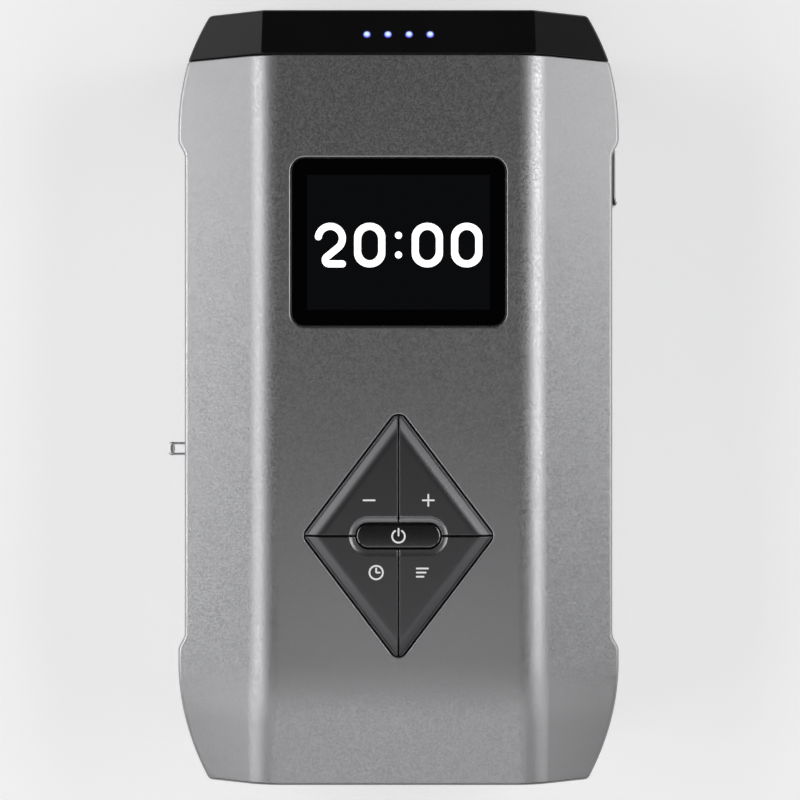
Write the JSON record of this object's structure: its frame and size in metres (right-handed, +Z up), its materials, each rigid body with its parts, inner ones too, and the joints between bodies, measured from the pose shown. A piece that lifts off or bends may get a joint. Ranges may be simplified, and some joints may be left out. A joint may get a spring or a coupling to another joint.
{
  "type": "compression therapy pump",
  "caption": "Portable air pump for compression garments: faceted silver casing, black end cap with hose outlets, display window and diamond keypad.",
  "frame": {"origin": "centre of the flat underside of the casing, midway between its two ends; the feet stand 1.6 mm below it", "axes": "+Z up out of the control face, +Y along the casing towards the black end cap with the hose outlets, +X to the side with the charging port"},
  "size_m": [0.126, 0.2108, 0.0778],
  "materials": {
    "silver_paint": "moulded ABS with satin metallic silver-grey paint",
    "black_gloss": "polished black moulding",
    "display_glass": "hard-coated black acrylic window",
    "grey_key": "satin dark grey moulding",
    "black_key": "satin black moulding",
    "black_plastic": "moulded black plastic",
    "black_rubber": "matte black rubber",
    "silicone": "translucent milky silicone",
    "clear_plastic": "clear polycarbonate lit blue-white",
    "bright_metal": "polished steel",
    "dull_steel": "plain plated steel",
    "circuit_board": "green solder mask on glass-fibre board",
    "white_nylon": "natural white nylon",
    "cell_wrap": "blue heat-shrink sleeve"
  },
  "bodies": {
    "housing": {"air_hose": "silicone", "battery_cell_1": "cell_wrap", "battery_cell_2": "cell_wrap", "battery_cell_3": "cell_wrap", "battery_cell_4": "cell_wrap", "battery_tray": "black_plastic", "buzzer": "black_plastic", "casing_screw_1": "dull_steel", "casing_screw_2": "dull_steel", "casing_screw_3": "dull_steel", "casing_screw_4": "dull_steel", "charging_socket": "black_plastic", "diaphragm": "black_rubber", "display_module": "dull_steel", "display_window": "display_glass", "end_cap": "black_gloss", "foot_1": "black_rubber", "foot_2": "black_rubber", "foot_3": "black_rubber", "foot_4": "black_rubber", "intake_filter": "white_nylon", "key_mat": "silicone", "light_board": "circuit_board", "light_guide": "clear_plastic", "lower_casing": "silver_paint", "main_board": "circuit_board", "motor_can": "dull_steel", "motor_plate": "black_plastic", "outlet_socket_left": "black_rubber", "outlet_socket_right": "black_rubber", "pressure_sensor": "black_plastic", "pump_body": "black_plastic", "pump_cover": "black_plastic", "pump_cradle": "black_rubber", "solenoid_valve_1": "dull_steel", "solenoid_valve_2": "dull_steel", "solenoid_valve_3": "dull_steel", "solenoid_valve_4": "dull_steel", "strap_eyelet": "bright_metal", "upper_casing": "silver_paint", "valve_manifold": "white_nylon", "wobble_plate": "white_nylon"},
    "pressure_down_key": {"pressure_down_key": "grey_key"},
    "pressure_up_key": {"pressure_up_key": "grey_key"},
    "time_key": {"time_key": "grey_key"},
    "mode_key": {"mode_key": "grey_key"},
    "power_key": {"power_key": "black_key"},
    "charging_cover": {"charging_cover": "grey_key"},
    "motor_rotor": {"motor_rotor": "dull_steel"},
    "valve_plunger_1": {"valve_plunger_1": "bright_metal"},
    "valve_plunger_2": {"valve_plunger_2": "bright_metal"},
    "valve_plunger_3": {"valve_plunger_3": "bright_metal"},
    "valve_plunger_4": {"valve_plunger_4": "bright_metal"}
  },
  "joints": [
    {"name": "pressure_down_key_press", "type": "slide", "parent": "housing", "child": "pressure_down_key", "axis": [0, 0, -1], "range_m": [0, 0.0006], "stiffness_N_per_m": 900},
    {"name": "pressure_up_key_press", "type": "slide", "parent": "housing", "child": "pressure_up_key", "axis": [0, 0, -1], "range_m": [0, 0.0006], "stiffness_N_per_m": 900},
    {"name": "time_key_press", "type": "slide", "parent": "housing", "child": "time_key", "axis": [0, 0, -1], "range_m": [0, 0.0006], "stiffness_N_per_m": 900},
    {"name": "mode_key_press", "type": "slide", "parent": "housing", "child": "mode_key", "axis": [0, 0, -1], "range_m": [0, 0.0006], "stiffness_N_per_m": 900},
    {"name": "power_key_press", "type": "slide", "parent": "housing", "child": "power_key", "axis": [0, 0, -1], "range_m": [0, 0.0006], "stiffness_N_per_m": 900},
    {"name": "charging_cover_hinge", "type": "hinge", "parent": "housing", "child": "charging_cover", "pos_m": [0.0593, 0.06985, 0.0486], "axis": [0, 0, 1], "range_deg": [0, 95]},
    {"name": "motor_spin", "type": "hinge", "parent": "housing", "child": "motor_rotor", "pos_m": [0, 0, 0.032], "axis": [0, 1, 0], "continuous": true},
    {"name": "valve_plunger_1_stroke", "type": "slide", "parent": "housing", "child": "valve_plunger_1", "axis": [0, 0, -1], "range_m": [0, 0.0008], "stiffness_N_per_m": 300},
    {"name": "valve_plunger_2_stroke", "type": "slide", "parent": "housing", "child": "valve_plunger_2", "axis": [0, 0, -1], "range_m": [0, 0.0008], "stiffness_N_per_m": 300},
    {"name": "valve_plunger_3_stroke", "type": "slide", "parent": "housing", "child": "valve_plunger_3", "axis": [0, 0, -1], "range_m": [0, 0.0008], "stiffness_N_per_m": 300},
    {"name": "valve_plunger_4_stroke", "type": "slide", "parent": "housing", "child": "valve_plunger_4", "axis": [0, 0, -1], "range_m": [0, 0.0008], "stiffness_N_per_m": 300}
  ]
}
